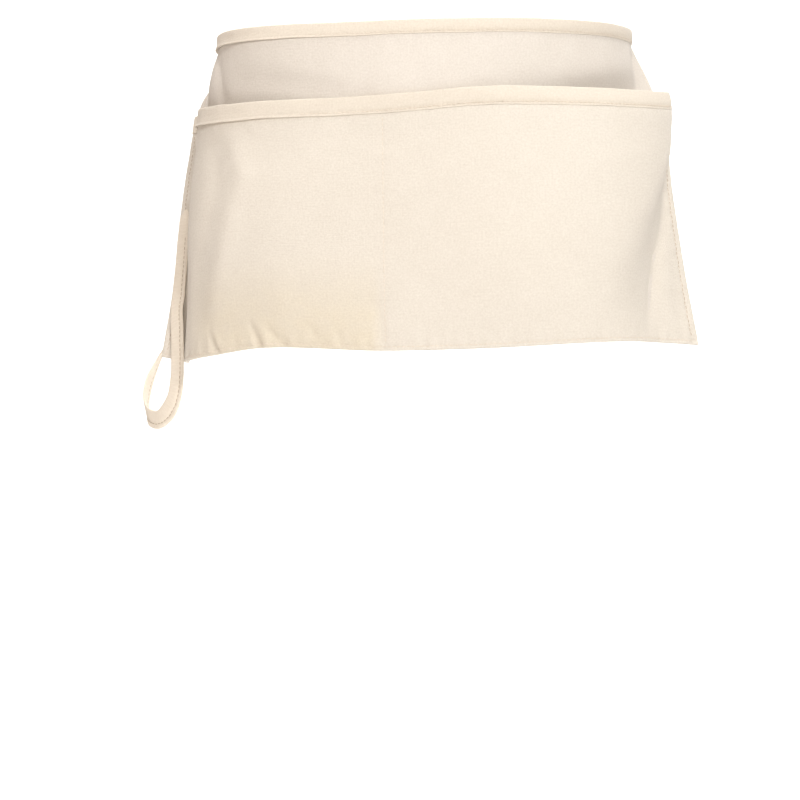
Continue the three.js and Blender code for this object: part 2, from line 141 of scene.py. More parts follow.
# Soft creases of the cloth: across and drop at the start, the bend and the end, width and depth in mm.
# A negative depth is a valley.
POCKET_FOLDS = (
    (-0.47, 0.33, -0.43, 0.45, -0.47, 0.58, 10, 2.2),
    (-0.47, 0.58, -0.50, 0.68, -0.55, 0.86, 11, 2.2),
    (-0.55, 0.36, -0.53, 0.47, -0.56, 0.58, 9, -1.4),
    (-0.56, 0.58, -0.60, 0.70, -0.63, 0.86, 10, -1.4),
    (-0.585, 0.93, -0.57, 0.965, -0.552, 1.0, 3.2, -1.5),
    (-0.565, 0.94, -0.55, 0.97, -0.53, 1.0, 5, 1.2),
    (-0.425, 0.92, -0.413, 0.955, -0.40, 1.0, 3.2, -1.6),
    (-0.40, 0.93, -0.385, 0.96, -0.37, 1.0, 5, 1.1),
    (-0.362, 0.945, -0.338, 0.97, -0.312, 1.0, 3.2, -1.4),
    (-0.235, 0.93, -0.215, 0.96, -0.195, 1.0, 4, -1.0),
    (-0.15, 0.94, -0.138, 0.97, -0.118, 1.0, 4, -0.9),
    (-0.02, 0.87, -0.01, 0.93, 0.004, 1.0, 5, -1.1),
    (-0.30, 0.80, -0.31, 0.90, -0.33, 1.0, 13, 1.2),
    (-0.402, 0.275, -0.40, 0.285, -0.398, 0.30, 3, 0.8),
    (0.30, 0.40, 0.34, 0.60, 0.36, 0.85, 34, 1.3),
    (-0.20, 0.35, -0.18, 0.55, -0.16, 0.78, 26, 1.0),
    (0.945, 0.54, 0.92, 0.64, 0.875, 0.73, 6, -1.6),
    (0.875, 0.73, 0.842, 0.84, 0.815, 0.95, 6, -1.9),
    (0.93, 0.72, 0.91, 0.82, 0.90, 0.95, 8, 1.2),
)
BODY_FOLDS = (
    (-0.665, 0.06, -0.61, 0.12, -0.585, 0.21, 6, -1.3),
    (-0.72, 0.06, -0.67, 0.12, -0.64, 0.21, 8, 0.5),
    (-0.50, 0.145, -0.30, 0.165, -0.05, 0.205, 8, -1.6),
    (0.40, 0.245, 0.55, 0.235, 0.68, 0.2, 7, -0.9),
    (0.50, 0.19, 0.65, 0.15, 0.86, 0.085, 9, 0.3),
    (0.93, 0.06, 0.92, 0.13, 0.92, 0.21, 9, -3.4),
)

half_width = CLOTH_WIDTH / 2
top_of_panel = WAISTBAND_HEIGHT / 2 - TAPE_THICKNESS - SEAM_GAP
panel_height = APRON_HEIGHT - TAPE_THICKNESS - SEAM_GAP
band_drop = (top_of_panel + WAISTBAND_HEIGHT / 2) / panel_height
mouth_drop = 1 - (POCKET_HEIGHT - TAPE_THICKNESS - SEAM_GAP) / panel_height
binding_drop = 1 - (POCKET_HEIGHT - BINDING_HEIGHT) / panel_height
cloth_face = CLOTH_THICKNESS / 2
pocket_seat = cloth_face + SEAM_GAP
binding_seat = SEAM_GAP + TAPE_THICKNESS


# The cloth's surface
def table_curve(rows):
    """The same cubic through a table's rows as in the CAD part, with straight ends."""
    t = np.array(list(rows), float)
    v = np.array(list(rows.values()), float)

    def evaluate(x):
        x = np.clip(np.asarray(x, float), t[0], t[-1])
        i = np.clip(np.searchsorted(t, x, side="right"), 1, len(t) - 1)
        t0, t1 = t[i - 1], t[i]
        first, last = i == 1, i == len(t) - 1
        before = np.where(first, i, i - 2)
        after = np.where(last, i - 1, np.minimum(i + 1, len(t) - 1))
        half = (t1 - t0) / 2
        w_before = half / (t0 - t[before])
        w_after = half / (t[after] - t1)
        p = (x - t0) / (t1 - t0)
        p2, p3 = p * p, p * p * p
        s_before = -w_before * p3 + 2 * w_before * p2 - w_before * p
        s0 = (1 + w_before) * p3 + (-1.5 - 2 * w_before) * p2 + (-0.5 + w_before) * p + 1
        s1 = (-1 - w_after) * p3 + (1.5 + w_after) * p2 + 0.5 * p
        s_after = w_after * p3 - w_after * p2
        return (s_before[..., None] * v[before] + s0[..., None] * v[i - 1]
                + s1[..., None] * v[i] + s_after[..., None] * v[after])

    return evaluate


heading_curves = {-1: table_curve(LEFT_SECTIONS), 1: table_curve(RIGHT_SECTIONS)}
section_places = {-1: LEFT_PLACES, 1: RIGHT_PLACES}
front_curve = table_curve(FRONT_LINE)
dip_curve = table_curve(EDGE_DIPS)
pocket_curves = {-1: table_curve(LEFT_POCKET), 1: table_curve(RIGHT_POCKET)}


def smoothstep(x, low, high):
    s = np.clip((np.asarray(x, float) - low) / (high - low), 0, 1)
    return s * s * (3 - 2 * s)


def walk_section(side, drop):
    """Points of half a plan section from the middle to the side edge, and the outward direction there."""
    heads = heading_curves[side](np.array([drop]))[0]
    turn_at = table_curve(dict(zip(section_places[side], ((h,) for h in heads))))
    shares = np.arange(PLAN_STEPS + 1) / PLAN_STEPS
    turn = np.radians(turn_at(shares)[:, 0])
    between = np.radians(turn_at(shares[:-1] + 0.5 / PLAN_STEPS)[:, 0])
    step = half_width / PLAN_STEPS
    front = front_curve(np.array([drop]))[0, 0] * CLOTH_WIDTH
    x = np.concatenate([[0], np.cumsum(side * step * np.cos(between))])
    y = np.concatenate([[0], np.cumsum(step * np.sin(between))]) - front
    return shares, x, y, side * np.sin(turn), -np.cos(turn)


sections = {}


def section_at(side, drop):
    key = (side, round(float(drop), 5))
    if key not in sections:
        sections[key] = walk_section(side, key[1])
    return sections[key]


def height_at(across, drop):
    dips = dip_curve(across)
    above = np.clip((drop - band_drop) / (mouth_drop - band_drop), 0, 1)
    below = np.clip((drop - mouth_drop) / (1 - mouth_drop), 0, 1)
    dip = dips[..., 0] * above + (dips[..., 1] - dips[..., 0]) * below
    arch = np.exp(-(((across + 0.55) / 0.35) ** 2)) * np.clip((1 + across) * 5, 0, 1)
    lift = BAND_LIFT * arch * (1 - smoothstep(drop, band_drop, mouth_drop))
    return top_of_panel - panel_height * drop - dip * APRON_HEIGHT + lift


def cloth_row(across, drop, out):
    """Points along one level of the cloth, out mm in front of the middle of the body panel."""
    across = np.asarray(across, float)
    out = np.broadcast_to(out, across.shape)
    points = np.zeros((len(across), 3))
    for side in (-1, 1):
        pick = across < 0 if side < 0 else across >= 0
        shares, x, y, out_x, out_y = section_at(side, drop)
        reach = np.minimum(np.abs(across[pick]), 1)
        points[pick, 0] = np.interp(reach, shares, x) + np.interp(reach, shares, out_x) * out[pick]
        points[pick, 1] = np.interp(reach, shares, y) + np.interp(reach, shares, out_y) * out[pick]
    points[:, 2] = height_at(across, drop)
    return points


def cloth_grid(across, drops, out_at):
    """A grid of cloth points: a row for each drop, with out_at(across, drop) for how far out each is."""
    return np.array([cloth_row(across, drop, out_at(across, drop)) for drop in drops])


def fold_field(folds, across, drop):
    """Height in mm of the soft creases at points of one level."""
    x, y = across * half_width, np.full_like(across, drop * panel_height)
    total = np.zeros_like(across)
    for a0, d0, a1, d1, a2, d2, wide, deep in folds:
        line = np.array([(a0, d0), (a1, d1), (a2, d2)]) * (half_width, panel_height)
        best = np.full_like(across, 1e9)
        along = np.zeros_like(across)
        for k in range(2):
            p, q = line[k], line[k + 1]
            span = q - p
            t = np.clip(((x - p[0]) * span[0] + (y - p[1]) * span[1]) / (span @ span), 0, 1)
            far = np.hypot(x - p[0] - t * span[0], y - p[1] - t * span[1])
            nearer = far < best
            best = np.where(nearer, far, best)
            along = np.where(nearer, (k + t) / 2, along)
        end_fade = 0.35 + 0.65 * np.sin(np.pi * np.clip(along, 0.05, 0.95)) ** 0.6
        if d2 >= 0.995:
            end_fade = np.maximum(end_fade, smoothstep(along, 0.3, 0.8))
        total += deep * end_fade * np.exp(-((best / wide) ** 2))
    return total


rng = np.random.default_rng(7)
WAVES = [(rng.uniform(-1, 1), rng.uniform(-1, 1), rng.uniform(0, 2 * math.pi)) for _ in range(14)]


def waves(across, drop, length):
    """A soft random unevenness about 1 high, with this wave length in mm."""
    x, y = across * half_width, drop * panel_height
    total = np.zeros_like(x)
    for k, (ax, ay, phase) in enumerate(WAVES):
        scale = 2 * math.pi / (length * (0.7 + 0.06 * k))
        size = math.hypot(ax, ay) + 1e-6
        total += np.sin((ax * x + ay * y) / size * scale + phase)
    return total / math.sqrt(len(WAVES) / 2)


def body_dent(across, drop):
    dent = np.zeros_like(across)
    for a, d, wide, high, deep in BODY_DENTS:
        dent += deep * CLOTH_WIDTH * np.exp(-(((across - a) / wide) ** 2) - ((drop - d) / high) ** 2)
    seam_fade = np.minimum(1, (1 - np.abs(across)) * half_width / DENT_FADE)
    return dent * seam_fade * smoothstep(drop, band_drop, mouth_drop)


def pocket_stand(across, drop):
    fall = float(np.clip((drop - mouth_drop) / (1 - mouth_drop), 0, 1))
    reach = np.abs(across)
    stand = np.zeros_like(across)
    for side in (-1, 1):
        pick = across < 0 if side < 0 else across >= 0
        high, peak, flat = pocket_curves[side](np.array([fall]))[0]
        r = reach[pick]
        rise = np.where(r < peak, r / peak, np.maximum(0, (flat - r) / max(flat - peak, 1e-6)))
        stand[pick] = high * CLOTH_WIDTH * np.sin(rise * math.pi / 2) ** 2
    seat_fade = 1 - smoothstep(drop, binding_drop, binding_drop + SEAT_FADE / panel_height)
    return stand + binding_seat * seat_fade


def seam_puckers(distance, place, pitch, reach, high):
    """Small gathers beside a seam: distance from it, and place along it, in mm."""
    ripple = np.sin(place * 2 * math.pi / pitch) + 0.6 * np.sin(place * 2 * math.pi / (pitch * 1.7) + 1.3)
    return high * ripple * np.exp(-((distance / reach) ** 2))


def side_distance(across):
    return (1 - np.abs(across)) * half_width


def roll(distance, radius):
    """0 at an edge, 1 from the radius on, round like a turned edge."""
    d = np.clip(distance / radius, 0, 1)
    return np.sqrt(np.maximum(0, 1 - (1 - d) ** 2))


def body_relief(across, drop):
    below_top = float(smoothstep(drop, band_drop - 0.01, band_drop + 0.05))
    fade = smoothstep(side_distance(across), 2, 16) * below_top
    fade = fade * (1 - float(smoothstep(drop, mouth_drop, mouth_drop + 0.02)))
    relief = fold_field(BODY_FOLDS, across, drop) + 0.15 * waves(across, drop, 38)
    below_band = (drop - band_drop) * panel_height
    relief += seam_puckers(below_band, across * half_width, 13, 9, 0.28)
    return relief * fade


def pocket_relief(across, drop):
    below = (drop - binding_drop) * panel_height
    above_bottom = (1 - drop) * panel_height
    x, y = across * half_width, drop * panel_height
    edge = side_distance(across)
    relief = fold_field(POCKET_FOLDS, across, drop) + 0.14 * waves(across, drop, 52)
    relief *= smoothstep(edge, 1, 14) * float(smoothstep(below, -2, 14))
    relief += seam_puckers(below, x, 12, 8, 0.12) * float(smoothstep(below, -1, 2))
    relief += seam_puckers(above_bottom - 3, x, 11, 9, 0.34) * float(smoothstep(above_bottom, 0.5, 3))
    relief += seam_puckers(edge - SIDE_STITCH, y, 10, 5, 0.2) * smoothstep(edge, 1, 4)
    relief += seam_puckers(x, y, 12, 8, 0.1)
    relief -= 0.1 * np.exp(-((x / 1.4) ** 2)) * float(smoothstep(below, -1, 3))
    relief -= 0.35 * np.exp(-(((edge - SIDE_STITCH) / 1.1) ** 2))
    relief -= 0.3 * np.exp(-(((above_bottom - BOTTOM_STITCH) / 1.1) ** 2))
    return relief


def seam_middle(drop):
    """Where the turned side edge comes to, between the front cloth and the hem behind."""
    below = float(smoothstep(drop, mouth_drop - 0.01, mouth_drop + 0.01))
    return -0.65 * (1 - below) + 0.1 * below


def side_valley(across, drop):
    """The deep soft fold beside the left flap, which both panels share below the pocket mouth."""
    away = (across + FLAP_FOLD_ACROSS) * half_width / FLAP_FOLD_WIDTH
    begins = float(smoothstep(drop, mouth_drop, binding_drop + 0.12))
    shallower = 1 - 0.6 * float(smoothstep(drop, 0.6, 0.84))
    return -FLAP_FOLD_DEPTH * np.exp(-away * away) * begins * shallower


def body_front(across, drop):
    face = cloth_face - body_dent(across, drop) + body_relief(across, drop) + side_valley(across, drop)
    if drop > mouth_drop + 0.01:
        return face
    middle = seam_middle(drop)
    return middle + (face - middle) * roll(side_distance(across), 1.3)


def body_back(across, drop):
    face = -cloth_face - body_dent(across, drop) + body_relief(across, drop) + side_valley(across, drop)
    return np.minimum(face, body_front(across, drop) - 0.05)


def hem_face(across, drop):
    """The outside of a side hem, behind the body panel."""
    return -cloth_face - body_dent(across, drop) - SEAM_GAP - TAPE_THICKNESS


def pocket_face(across, drop):
    """The front of the pocket panel before its edges are rolled."""
    seat = pocket_seat + pocket_stand(across, drop) + CLOTH_THICKNESS
    return seat + pocket_relief(across, drop) + side_valley(across, drop)


def pocket_front(across, drop):
    face = pocket_face(across, drop)
    bottom = roll(np.array([(1 - drop) * panel_height]), 1.6)[0]
    turned = roll(side_distance(across), SEAM_ROLL) * (0.15 + 0.85 * bottom)
    middle = seam_middle(drop)
    return middle + (face - middle) * turned


def pocket_back(across, drop):
    front = pocket_front(across, drop)
    return np.maximum(front - CLOTH_THICKNESS, np.minimum(seam_middle(drop), front - 0.03))


def edge_columns(count):
    """Shares across the cloth, closer together beside the two side edges and the middle seam."""
    near = np.array([0, 0.25, 0.6, 1.1, 1.8, 2.8, 4.2, 5.6, 6.5, 7.6])
    inner = np.linspace(9.5, half_width - 4, count // 2)
    seam = np.array([half_width - 2.6, half_width - 1.4, half_width - 0.5])
    left = -1 + np.concatenate([near, inner, seam]) / half_width
    return np.concatenate([left, [0.0], -left[::-1]])


# Meshes
def make_object(name, points, faces, uvs, material, nodes):
    mesh = bpy.data.meshes.new(name)
    mesh.from_pydata((np.asarray(points) / 1000).tolist(), [], faces)
    layer = mesh.uv_layers.new(name="cloth")
    corners = np.zeros(len(mesh.loops), int)
    mesh.loops.foreach_get("vertex_index", corners)
    layer.data.foreach_set("uv", (np.asarray(uvs)[corners] / 1000).astype(np.float32).ravel())
    mesh.polygons.foreach_set("use_smooth", np.ones(len(mesh.polygons), bool))
    mesh.validate()
    mesh.update()
    obj = bpy.data.objects.new(name, mesh)
    bpy.context.scene.collection.objects.link(obj)
    obj.data.materials.append(material)
    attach(obj, "root")
    if nodes:
        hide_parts(*nodes)
    return obj


def outward(points, faces):
    """The faces, turned over if they enclose a negative volume."""
    p = np.asarray(points)
    corners = np.array([(f[0], f[k], f[k + 1]) for f in faces for k in range(1, len(f) - 1)])
    volume = np.sum(p[corners[:, 0]] * np.cross(p[corners[:, 1]], p[corners[:, 2]]))
    return faces if volume > 0 else [tuple(reversed(face)) for face in faces]


def slab(front, back):
    """Points and faces of a closed strip of cloth between two grids of the same size."""
    rows, columns = front.shape[:2]
    points = np.concatenate([front.reshape(-1, 3), back.reshape(-1, 3)])
    n = rows * columns
    faces = []
    for r in range(rows - 1):
        for c in range(columns - 1):
            a = r * columns + c
            faces.append((a, a + 1, a + columns + 1, a + columns))
            faces.append((n + a, n + a + columns, n + a + columns + 1, n + a + 1))
    rim = [c for c in range(columns)] + [r * columns + columns - 1 for r in range(1, rows)]
    rim += [(rows - 1) * columns + c for c in range(columns - 2, -1, -1)]
    rim += [r * columns for r in range(rows - 2, 0, -1)]
    for k, a in enumerate(rim):
        b = rim[(k + 1) % len(rim)]
        faces.append((b, a, n + a, n + b))
    return points, outward(points, faces)


def tube(rings):
    """Points and faces of a closed solid through rings of the same number of points, with flat ends."""
    rings = np.asarray(rings)
    count, sides = rings.shape[:2]
    faces = []
    for r in range(count - 1):
        for s in range(sides):
            a, b = r * sides + s, r * sides + (s + 1) % sides
            faces.append((a, b, b + sides, a + sides))
    faces.append(tuple(range(sides))[::-1])
    faces.append(tuple((count - 1) * sides + s for s in range(sides)))
    return rings.reshape(-1, 3), outward(rings.reshape(-1, 3), faces)


def strip_uvs(along, down):
    u, v = np.meshgrid(along, down)
    flat = np.stack([u.ravel(), v.ravel()], 1)
    return np.concatenate([flat, flat])


def unit(v):
    return v / np.maximum(np.linalg.norm(v, axis=-1, keepdims=True), 1e-9)


def stitch_row(name, points, normals, material=None):
    """Stitches along a line of points on a surface, each a short round thread that dips at its ends."""
    points, normals = np.asarray(points, float), unit(np.asarray(normals, float))
    run = np.concatenate([[0], np.cumsum(np.linalg.norm(np.diff(points, axis=0), axis=1))])
    all_points, all_faces = [], []
    count = int(run[-1] / STITCH_PITCH)
    # place along the stitch, rise above the cloth and thickness, as shares of its length and of the thread
    shape = ((-0.5, -0.35, 0.5), (-0.36, 0.12, 0.9), (0.0, 0.34, 1.0), (0.36, 0.12, 0.9), (0.5, -0.35, 0.5))

    def value_at(values, at):
        return np.array([np.interp(at, run, values[:, i]) for i in range(3)])

    for k in range(count):
        middle = (k + 0.5) * STITCH_PITCH
        sway = 0.12 * math.sin(k * 2.4)
        rings = []
        for along, rise, fat in shape:
            at = middle + along * STITCH_LENGTH
            normal = unit(value_at(normals, at))
            ahead = unit(value_at(points, at + 0.4) - value_at(points, at - 0.4))
            side = unit(np.cross(normal, ahead))
            centre = value_at(points, at) + normal * rise * THREAD + side * sway
            angles = np.arange(6) * math.pi / 3
            oval = np.cos(angles)[:, None] * side + 0.8 * np.sin(angles)[:, None] * normal
            rings.append(centre + THREAD / 2 * fat * oval)
        p, f = tube(np.array(rings))
        base = len(all_points) * len(p)
        all_points.append(p)
        all_faces += [tuple(i + base for i in face) for face in f]
    joined = np.concatenate(all_points)
    return make_object(name, joined, all_faces, joined[:, [0, 2]], material or thread_material, ())


# Materials
def new_material(name):
    material = bpy.data.materials.new(name)
    material.use_nodes = True
    material.node_tree.nodes.clear()
    return material, material.node_tree.nodes, material.node_tree.links


def cloth_material(name, pale, dark, weave_mm, bump_mm, painted_warm_shade=0.0):
    """Plain-woven cotton: crossed threads, slubs along both ways, faint blotches, paler rises where the cloth
    wears, and painted shade darkening its creases and seams.
    """
    material, nodes, links = new_material(name)

    def node(kind, **values):
        made = nodes.new(kind)
        for key, value in values.items():
            if key in made.inputs:
                made.inputs[key].default_value = value
            else:
                setattr(made, key, value)
        return made

    def maths(operation, a, b=None, clamp=False):
        made = node("ShaderNodeMath", operation=operation, use_clamp=clamp)
        for index, value in enumerate((a, b)):
            if value is None:
                continue
            if isinstance(value, (int, float)):
                made.inputs[index].default_value = value
            else:
                links.new(value, made.inputs[index])
        return made.outputs[0]

    def centred(value, middle, amount):
        return maths("MULTIPLY", maths("SUBTRACT", value, middle), amount)

    def noise(vector, scale, detail, stretch=(1, 1, 1)):
        mapping = node("ShaderNodeMapping")
        mapping.inputs["Scale"].default_value = stretch
        links.new(vector, mapping.inputs["Vector"])
        made = node("ShaderNodeTexNoise", Scale=scale, Detail=detail, Roughness=0.5)
        links.new(mapping.outputs["Vector"], made.inputs["Vector"])
        return made.outputs["Fac"]

    uv = node("ShaderNodeUVMap", uv_map="cloth").outputs["UV"]
    split = node("ShaderNodeSeparateXYZ")
    links.new(uv, split.inputs[0])
    per_metre = 2000 * math.pi / weave_mm
    wobble = noise(uv, 160.0, 2.0)
    across = maths("ADD", maths("MULTIPLY", split.outputs["X"], per_metre), maths("MULTIPLY", wobble, 5.0))
    down = maths("ADD", maths("MULTIPLY", split.outputs["Y"], per_metre), maths("MULTIPLY", wobble, 5.0))
    warp = maths("SINE", across)
    weft = maths("SINE", down)
    threads = maths("MULTIPLY", warp, weft)
    slub_across = noise(uv, 900.0, 2.0, (0.12, 1, 1))
    slub_down = noise(uv, 900.0, 2.0, (1, 0.12, 1))
    slubs = maths("ADD", slub_across, slub_down)
    grain = noise(uv, 640.0, 3.0)
    blotches = noise(uv, 9.0, 4.0)
    fine_blotches = noise(uv, 60.0, 3.0)

    tone = maths("ADD", centred(slubs, 1.0, 0.28), centred(blotches, 0.5, 0.3))
    tone = maths("ADD", tone, centred(grain, 0.5, 1.12))
    tone = maths("ADD", tone, centred(fine_blotches, 0.5, 0.22))
    tone = maths("ADD", tone, maths("MULTIPLY", threads, 0.06))
    geometry = node("ShaderNodeNewGeometry")
    # pointiness: paler on convex rises where the cloth wears, and painted shade darkening its creases and
    # seams
    wear_and_crease_shade = centred(geometry.outputs["Pointiness"], 0.5, 1.6)
    tone = maths("ADD", maths("ADD", tone, wear_and_crease_shade), 0.62, clamp=True)

    mix = node("ShaderNodeMix", data_type="RGBA")
    links.new(tone, mix.inputs["Factor"])
    mix.inputs["A"].default_value = (*dark, 1)
    mix.inputs["B"].default_value = (*pale, 1)

    height = maths("ADD", maths("MULTIPLY", threads, 0.5), maths("MULTIPLY", slubs, 0.9))
    height = maths("ADD", height, maths("MULTIPLY", grain, 0.7))
    bump = node("ShaderNodeBump", Strength=0.55, Distance=bump_mm / 1000)
    links.new(height, bump.inputs["Height"])

    shader = node("ShaderNodeBsdfPrincipled")
    shader.inputs["Roughness"].default_value = 0.92
    shader.inputs["Sheen Weight"].default_value = 0.18
    shader.inputs["Sheen Roughness"].default_value = 0.5
    shader.inputs["Specular IOR Level"].default_value = 0.18
    colour = mix.outputs["Result"]
    if painted_warm_shade:
        # painted shade: a faint warm, darker tint along the bottom of the left pocket, where the cloth lies
        # in warm shade
        def ramp(value, low, high):
            made = node("ShaderNodeMapRange", interpolation_type="SMOOTHSTEP")
            made.inputs["From Min"].default_value = low
            made.inputs["From Max"].default_value = high
            links.new(value, made.inputs["Value"])
            return made.outputs["Result"]

        x, y = split.outputs["X"], split.outputs["Y"]
        sideways = maths("MULTIPLY", ramp(x, 0.002, -0.012), ramp(x, -0.2, -0.13))
        place = maths("MULTIPLY", sideways, ramp(y, -0.165, -0.24))
        warm_shade_mask = maths("MULTIPLY", place, maths("ADD", maths("MULTIPLY", fine_blotches, 0.8), 0.5), clamp=True)
        tint = node("ShaderNodeMix", data_type="RGBA", blend_type="MULTIPLY")
        links.new(maths("MULTIPLY", warm_shade_mask, painted_warm_shade), tint.inputs["Factor"])
        links.new(colour, tint.inputs["A"])
        tint.inputs["B"].default_value = (0.99, 0.962, 0.88, 1)
        colour = tint.outputs["Result"]
    links.new(colour, shader.inputs["Base Color"])
    links.new(bump.outputs["Normal"], shader.inputs["Normal"])
    output = node("ShaderNodeOutputMaterial")
    links.new(shader.outputs[0], output.inputs["Surface"])
    return material


# the canvas's last value paints warm shade along the bottom of the left pocket
canvas = cloth_material("canvas", (0.84, 0.775, 0.68), (0.68, 0.607, 0.512), 0.95, 0.35, 1.0)
canvas_inside = cloth_material("canvas_inside", (0.83, 0.765, 0.685), (0.67, 0.60, 0.517), 0.95, 0.35)
tape_cloth = cloth_material("tape_cloth", (0.86, 0.775, 0.66), (0.71, 0.62, 0.505), 0.75, 0.22)
binding_cloth = cloth_material("binding_cloth", (0.815, 0.735, 0.63), (0.67, 0.59, 0.48), 0.75, 0.22)
strap_cloth = cloth_material("strap_cloth", (0.93, 0.84, 0.71), (0.80, 0.70, 0.57), 0.8, 0.3)
# a darker brown thread: its darkness paints the shade along the grooves of the side and loop stitching
groove_shade_thread = cloth_material("groove_shade_thread", (0.60, 0.48, 0.36), (0.42, 0.32, 0.23), 0.4, 0.12)
thread_material = cloth_material("sewing_thread", (0.83, 0.735, 0.62), (0.64, 0.545, 0.44), 0.4, 0.12)

# The two panels
body_columns = edge_columns(260)
behind_band = np.linspace(0, band_drop, 5)
above_pocket = np.linspace(band_drop, mouth_drop + 0.01, 40)[1:]
behind_pocket = np.linspace(mouth_drop + 0.01, 1, 60)[1:]
body_drops = np.concatenate([behind_band, above_pocket, behind_pocket])


def body_rows(out_at):
    """One face of the body panel. Below the pocket mouth its side edges lie inside the turned edge."""
    rows = []
    for drop in body_drops:
        inset = 1.3 * float(smoothstep(drop, mouth_drop, mouth_drop + 0.02))
        rows.append(cloth_row(body_columns * (1 - inset / half_width), drop, out_at(body_columns, drop)))
    return np.array(rows)


body_points, body_faces = slab(body_rows(body_front), body_rows(body_back))
body_uvs = strip_uvs(body_columns * half_width, -body_drops * panel_height)
body = make_object("body_panel_cloth", body_points, body_faces, body_uvs, canvas_inside,
                   ["body_panel"])

pocket_columns = edge_columns(300)
end_rows = 1 - np.array([0, 0.2, 0.5, 0.9, 1.4, 2.0, 2.6, 3.2, 3.8, 4.8]) / panel_height
below_binding = np.linspace(binding_drop, end_rows[-1], 110)[1:-1]
pocket_drops = np.concatenate([np.linspace(mouth_drop, binding_drop, 8), below_binding, end_rows[::-1]])
pocket_points, pocket_faces = slab(cloth_grid(pocket_columns, pocket_drops, pocket_front),
                                   cloth_grid(pocket_columns, pocket_drops, pocket_back))
pocket_uvs = strip_uvs(pocket_columns * half_width, -pocket_drops * panel_height)
pocket = make_object("pocket_panel_cloth", pocket_points, pocket_faces, pocket_uvs, canvas,
                     ["pocket_panel"])


# Folded tapes
def folded_tape(name, top_drop, low_drop, front_at, back_at, material, nodes, seed, lip_lift):
    """A tape folded over an edge: thin padded legs, a round fold on top, and a lip below its stitching."""
    columns = edge_columns(300)
    height = (low_drop - top_drop) * panel_height
    # share of the leg's height from the fold down, and how far the leg swells there in mm
    legs = ((0.0, 0.0), (0.06, 0.1), (0.16, 0.2), (0.32, 0.26), (0.5, 0.24), (0.66, 0.14), (0.76, 0.0),
            (0.81, -0.14), (0.85, -0.12), (0.89, 0.1), (0.935, 0.26), (0.975, 0.24), (1.0, 0.02))
    x = columns * half_width
    ripple = 0.06 * np.sin(x * 2 * math.pi / 9.5 + seed) + 0.04 * np.sin(x * 2 * math.pi / 5.7 + 2 * seed)
    slow = 0.25 * np.sin(x * 2 * math.pi / 83 + seed) + 0.15 * np.sin(x * 2 * math.pi / 37 + 3 * seed)
    outer = TAPE_OUTER
    sunk = smoothstep(columns, -0.3, 0.3)
    lifted = smoothstep(-columns, 0.15, 0.6) * (1 - smoothstep(-columns, 0.84, 0.92))
    rows = []
    for share, swell in reversed(legs):
        drop = top_drop + (low_drop - top_drop) * share
        wave = ripple * (0.4 + 0.6 * abs(share - 0.5) * 2) * (share > 0.02)
        swell = swell + (lip_lift * lifted - LIP_SINK * sunk) * float(smoothstep(share, 0.5, 0.95))
        row = cloth_row(columns, drop, front_at(columns, drop) + outer + swell + wave)
        row[:, 2] += outer * 0.15 * (share < 0.05) + (slow + 0.5 * ripple) * (0.6 if share > 0.8 else 0.0)
        rows.append(row)
    front_top = front_at(columns, top_drop) + outer
    back_top = back_at(columns, top_drop) - outer
    for angle in (30, 60, 90, 120, 150):
        c, s = math.cos(math.radians(angle)), math.sin(math.radians(angle))
        middle = (front_top + back_top) / 2
        row = cloth_row(columns, top_drop, middle + (front_top - back_top) / 2 * c)
        row[:, 2] += outer * s + 0.3 * slow + 0.15 * ripple
        rows.append(row)
    for share, swell in legs:
        drop = top_drop + (low_drop - top_drop) * share
        wave = ripple * (0.4 + 0.6 * abs(share - 0.5) * 2) * (share > 0.02)
        row = cloth_row(columns, drop, back_at(columns, drop) - outer - swell + wave)
        rows.append(row)
    for share in (0.97, 0.5, 0.0):
        drop = top_drop + (low_drop - top_drop) * share
        rows.append(cloth_row(columns, drop, back_at(columns, drop) - 0.12))
    for share in (0.0, 0.5, 0.97):
        drop = top_drop + (low_drop - top_drop) * share
        row = cloth_row(columns, drop, front_at(columns, drop) + 0.12)
        row[:, 2] += (slow + 0.5 * ripple) * (0.6 if share > 0.8 else 0.0)
        rows.append(row)
    rings = np.transpose(np.array(rows), (1, 0, 2))
    # the two ends are drawn in a little, so that they look folded
    for end in (0, -1):
        centre = rings[end].mean(0)
        rings[end] = centre + (rings[end] - centre) * 0.9
    points, faces = tube(rings)
    girth = np.concatenate([[0], np.cumsum(np.linalg.norm(np.diff(rings[len(rings) // 2], axis=0), axis=1))])
    uvs = np.stack([np.repeat(x, rings.shape[1]), np.tile(girth, rings.shape[0])], 1)
    return make_object(name, points, faces, uvs, material, nodes)


waistband = folded_tape("waistband_tape", 0, band_drop * BAND_LEG, body_front, body_back, tape_cloth,
                        ["waistband"], 0.4, 1.3)
binding = folded_tape("pocket_binding_tape", mouth_drop, binding_drop, pocket_front, pocket_back,
                      binding_cloth, ["pocket_binding"], 1.7, 1.0)


# Side hems
def side_hem(name, sign, node_name):
    depth = np.array([0, 0.25, 0.6, 1.1, 1.6, 2.4, 4.0, 5.6, 6.5, 7.2, SIDE_HEM_WIDTH])
    across = np.sort(sign * (1 - depth / half_width))
    above_pocket = np.linspace(band_drop + SEAM_GAP / panel_height, mouth_drop, 24)
    drops = np.concatenate([above_pocket, np.linspace(mouth_drop, 1, 90)[1:]])

    def back(a, drop):
        away = side_distance(a)
        ripple = 0.12 * np.sin(drop * panel_height * 2 * math.pi / 9)
        face = hem_face(a, drop) - ripple + 0.3 * np.exp(-(((away - 6.3) / 0.9) ** 2))
        middle = seam_middle(drop)
        return middle + (face - middle) * roll(away, 1.7)

    def front(a, drop):
        middle = seam_middle(drop)
        return np.minimum(back(a, drop) + TAPE_THICKNESS, np.maximum(middle, back(a, drop) + 0.03))

    points, faces = slab(cloth_grid(across, drops, front), cloth_grid(across, drops, back))
    uvs = strip_uvs(across * half_width, -drops * panel_height)
    return make_object(name, points, faces, uvs, canvas_inside, [node_name])


hem_left = side_hem("side_hem_left_cloth", -1, "side_hem_left")
hem_right = side_hem("side_hem_right_cloth", 1, "side_hem_right")


